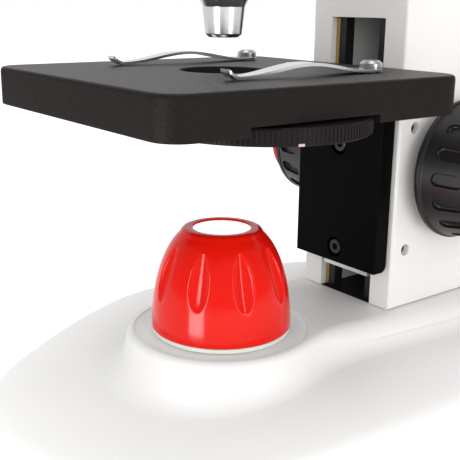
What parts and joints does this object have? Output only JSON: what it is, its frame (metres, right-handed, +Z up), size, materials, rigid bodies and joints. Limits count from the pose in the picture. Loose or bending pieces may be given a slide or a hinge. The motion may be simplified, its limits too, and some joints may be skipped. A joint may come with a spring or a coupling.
{
  "type": "microscope",
  "caption": "Monocular student microscope: lamp dome on a broad base, curved arm, rack-driven stage, revolving nosepiece and a tilted eyepiece tube.",
  "frame": {"origin": "on the table below the middle of the base", "axes": "+Z up, -Y towards the front of the stage, +Y towards the arm, +X to the right seen from the front"},
  "size_m": [0.156, 0.206, 0.3301],
  "materials": {
    "base_gloss": "glossy white moulded plastic",
    "arm_paint": "warm white enamel on cast metal",
    "red_gloss": "glossy red plastic",
    "collar_cream": "cream translucent plastic",
    "stage_crinkle": "fine black crinkle paint",
    "bracket_black": "matte black anodised finish",
    "disc_black": "satin black moulded plastic",
    "satin_black": "satin black plastic",
    "black_plastic": "plain black plastic",
    "foot_rubber": "matte black rubber",
    "steel": "turned bright steel",
    "black_steel": "blackened steel",
    "clip_steel": "polished spring steel",
    "slide_aluminium": "milled aluminium",
    "objective_chrome": "satin chrome with a lacquered band",
    "brass": "plain brass",
    "clear_glass": "clear coated glass",
    "frosted_lens": "frosted white diffuser",
    "cell_jacket": "printed metal jacket without lettering",
    "board_green": "green circuit board"
  },
  "bodies": {
    "stand": {"base_shell": "base_gloss", "base_cover": "black_plastic", "rubber_foot_1": "foot_rubber", "rubber_foot_2": "foot_rubber", "rubber_foot_3": "foot_rubber", "rubber_foot_4": "foot_rubber", "cover_screw_1": "steel", "cover_screw_2": "steel", "cover_screw_3": "steel", "cover_screw_4": "steel", "battery_cell_1": "cell_jacket", "battery_cell_2": "cell_jacket", "battery_cell_3": "cell_jacket", "lamp_collar": "collar_cream", "led_board": "board_green", "led_emitter": "frosted_lens", "arm": "arm_paint", "arm_bolt_left": "steel", "arm_bolt_right": "steel", "guide_rail_left": "brass", "guide_rail_right": "brass", "shaft_bush_left": "brass", "shaft_bush_right": "brass", "nosepiece_base": "satin_black", "turret_screw": "steel"},
    "battery_door": {"battery_door": "black_plastic"},
    "power_switch": {"power_switch": "satin_black"},
    "lamp_cap": {"lamp_dome": "red_gloss", "lamp_window": "frosted_lens"},
    "coarse_drive": {"pinion_shaft": "steel", "coarse_knob_left": "satin_black", "coarse_knob_right": "satin_black", "knob_ring_left": "red_gloss", "knob_ring_right": "red_gloss"},
    "fine_drive": {"fine_shaft": "steel", "fine_knob_left": "satin_black", "fine_knob_right": "satin_black"},
    "stage": {"stage_plate": "stage_crinkle", "stage_bracket": "bracket_black", "slide_plate": "slide_aluminium", "focus_rack": "brass", "bracket_screw_1": "black_steel", "bracket_screw_2": "black_steel", "stage_screw_left": "steel", "stage_screw_right": "steel", "diaphragm_pivot": "steel"},
    "diaphragm": {"diaphragm_disc": "disc_black"},
    "clip_left": {"stage_clip_left": "clip_steel"},
    "clip_right": {"stage_clip_right": "clip_steel"},
    "nosepiece": {"turret": "bracket_black", "objective_high": "objective_chrome", "objective_medium": "objective_chrome", "objective_low": "objective_chrome"},
    "head": {"head_body": "arm_paint", "head_prism": "clear_glass", "eyepiece_tube": "arm_paint"},
    "head_lock": {"head_lock_screw": "satin_black"},
    "ocular": {"eyepiece": "satin_black", "eye_lens": "clear_glass"}
  },
  "joints": [
    {"name": "coarse_focus", "type": "hinge", "parent": "stand", "child": "coarse_drive", "pos_m": [0, 0.065, 0.089], "axis": [1, 0, 0], "range_deg": [-77, 86.6]},
    {"name": "stage_travel", "type": "slide", "parent": "stand", "child": "stage", "axis": [0, 0, 1], "range_m": [-0.009, 0.008]},
    {"name": "fine_focus", "type": "hinge", "parent": "stand", "child": "fine_drive", "pos_m": [0, 0.065, 0.089], "axis": [1, 0, 0], "continuous": true},
    {"name": "diaphragm_turn", "type": "hinge", "parent": "stage", "child": "diaphragm", "pos_m": [0.0225, -0.0225, 0.112], "axis": [0, 0, 1], "continuous": true},
    {"name": "clip_left_swing", "type": "hinge", "parent": "stage", "child": "clip_left", "pos_m": [-0.03, 0.014, 0.125], "axis": [0, 0, 1], "range_deg": [-60, 20]},
    {"name": "clip_right_swing", "type": "hinge", "parent": "stage", "child": "clip_right", "pos_m": [0.03, 0.014, 0.125], "axis": [0, 0, 1], "range_deg": [-20, 60]},
    {"name": "nosepiece_turn", "type": "hinge", "parent": "stand", "child": "nosepiece", "pos_m": [0, -0.019, 0.24068], "axis": [0, 0.2756, 0.9613], "continuous": true},
    {"name": "head_turn", "type": "hinge", "parent": "stand", "child": "head", "pos_m": [0, -0.019, 0.216], "axis": [0, 0, 1], "continuous": true},
    {"name": "head_lock_turn", "type": "hinge", "parent": "stand", "child": "head_lock", "pos_m": [0, -0.045, 0.21], "axis": [0, 1, 0], "range_deg": [0, 180]},
    {"name": "eyepiece_pull", "type": "slide", "parent": "head", "child": "ocular", "axis": [0, 0.7071, 0.7071], "range_m": [0, 0.046]},
    {"name": "lamp_cap_twist", "type": "hinge", "parent": "stand", "child": "lamp_cap", "pos_m": [0, -0.019, 0.042], "axis": [0, 0, 1], "range_deg": [0, 40]},
    {"name": "power_rocker", "type": "hinge", "parent": "stand", "child": "power_switch", "pos_m": [0, 0.1007, 0.013], "axis": [1, 0, 0], "range_deg": [-14, 0]},
    {"name": "battery_door_swing", "type": "hinge", "parent": "stand", "child": "battery_door", "pos_m": [0, 0.0528, 0.0023], "axis": [1, 0, 0], "range_deg": [0, 100]}
  ],
  "couplings": [
    {"joint": "coarse_focus", "follows": "stage_travel", "rad_per_m": -166.67}
  ]
}
